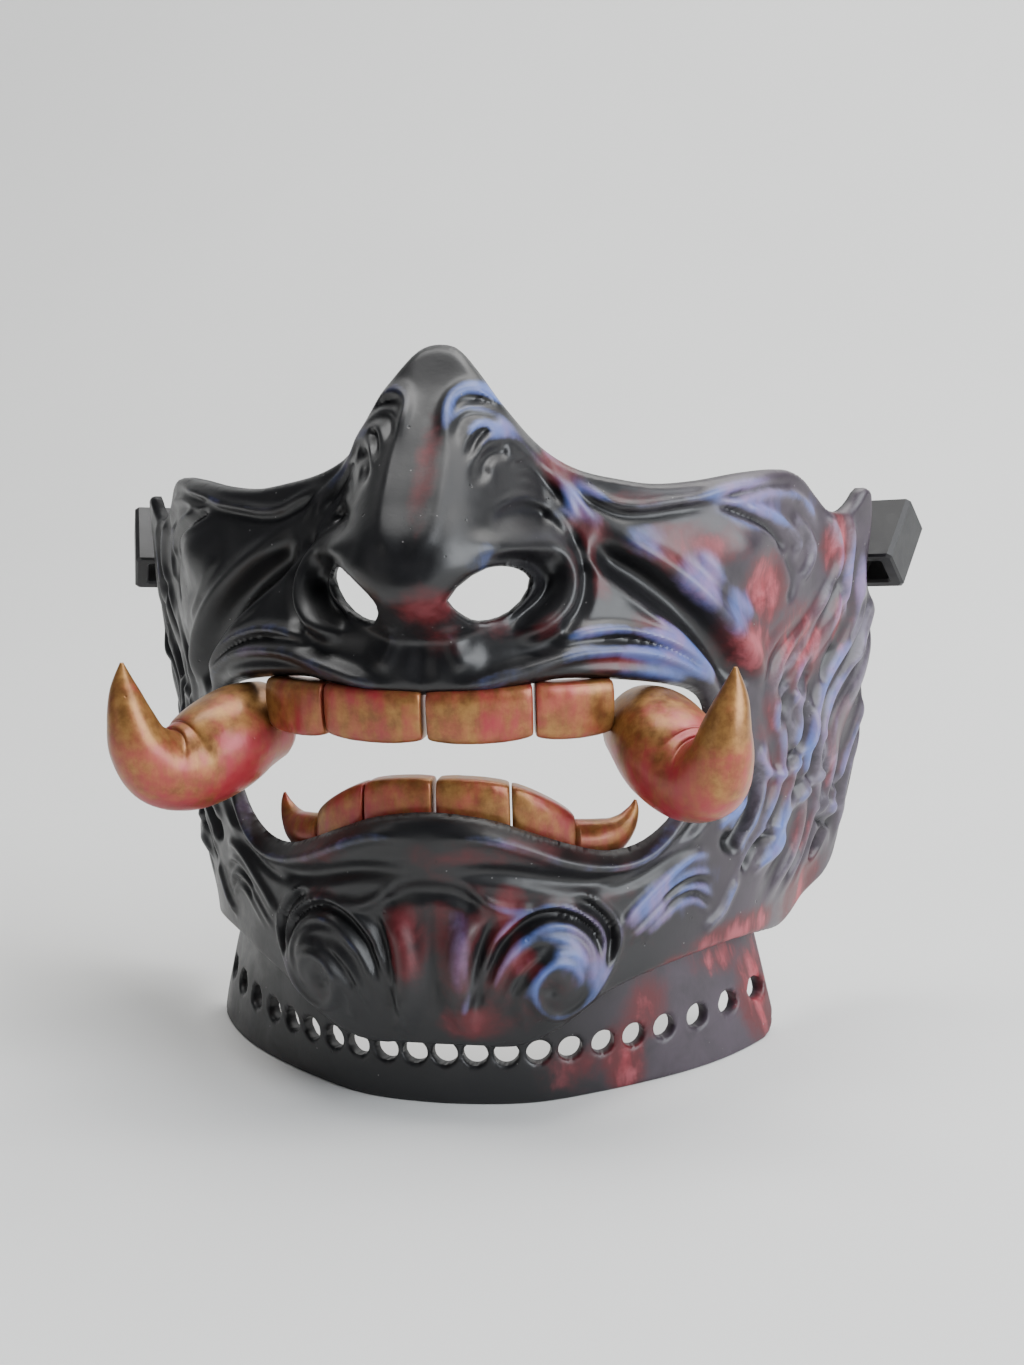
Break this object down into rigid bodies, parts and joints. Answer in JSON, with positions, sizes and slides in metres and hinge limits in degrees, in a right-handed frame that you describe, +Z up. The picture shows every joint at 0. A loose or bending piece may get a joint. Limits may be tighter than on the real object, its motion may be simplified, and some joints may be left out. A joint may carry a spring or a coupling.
{
  "type": "ogre half mask",
  "caption": "Rigid half-face ogre mask with a nose, bared teeth, curling tusks, carved folds, a pierced chin band and slotted strap blocks.",
  "frame": {"origin": "centre of the bounding box in plan, on the plane of the chin band's flat lower edge", "axes": "+Z up, the mask faces -Y, +X is the viewer's right; X = 0 is the plane of symmetry"},
  "size_m": [0.1964, 0.1136, 0.1548],
  "materials": {
    "lacquer": "satin black with red and blue dry-brushed highlights",
    "bare_resin": "satin black, unpainted",
    "tooth_paint": "bronze-gold paint with a red glaze",
    "tusk_paint": "bronze-gold paint with a red glaze, brushed streaks"
  },
  "bodies": {
    "root": {"face_shell": "lacquer", "chin_band": "lacquer", "upper_incisor_right": "tooth_paint", "upper_incisor_left": "tooth_paint", "upper_lateral_right": "tooth_paint", "upper_lateral_left": "tooth_paint", "lower_incisor_right": "tooth_paint", "lower_incisor_left": "tooth_paint", "lower_lateral_right": "tooth_paint", "lower_lateral_left": "tooth_paint", "lower_fang_right": "tooth_paint", "lower_fang_left": "tooth_paint", "tusk_right": "tusk_paint", "tusk_left": "tusk_paint", "strap_block_right": "bare_resin", "strap_block_left": "bare_resin"}
  },
  "joints": []
}
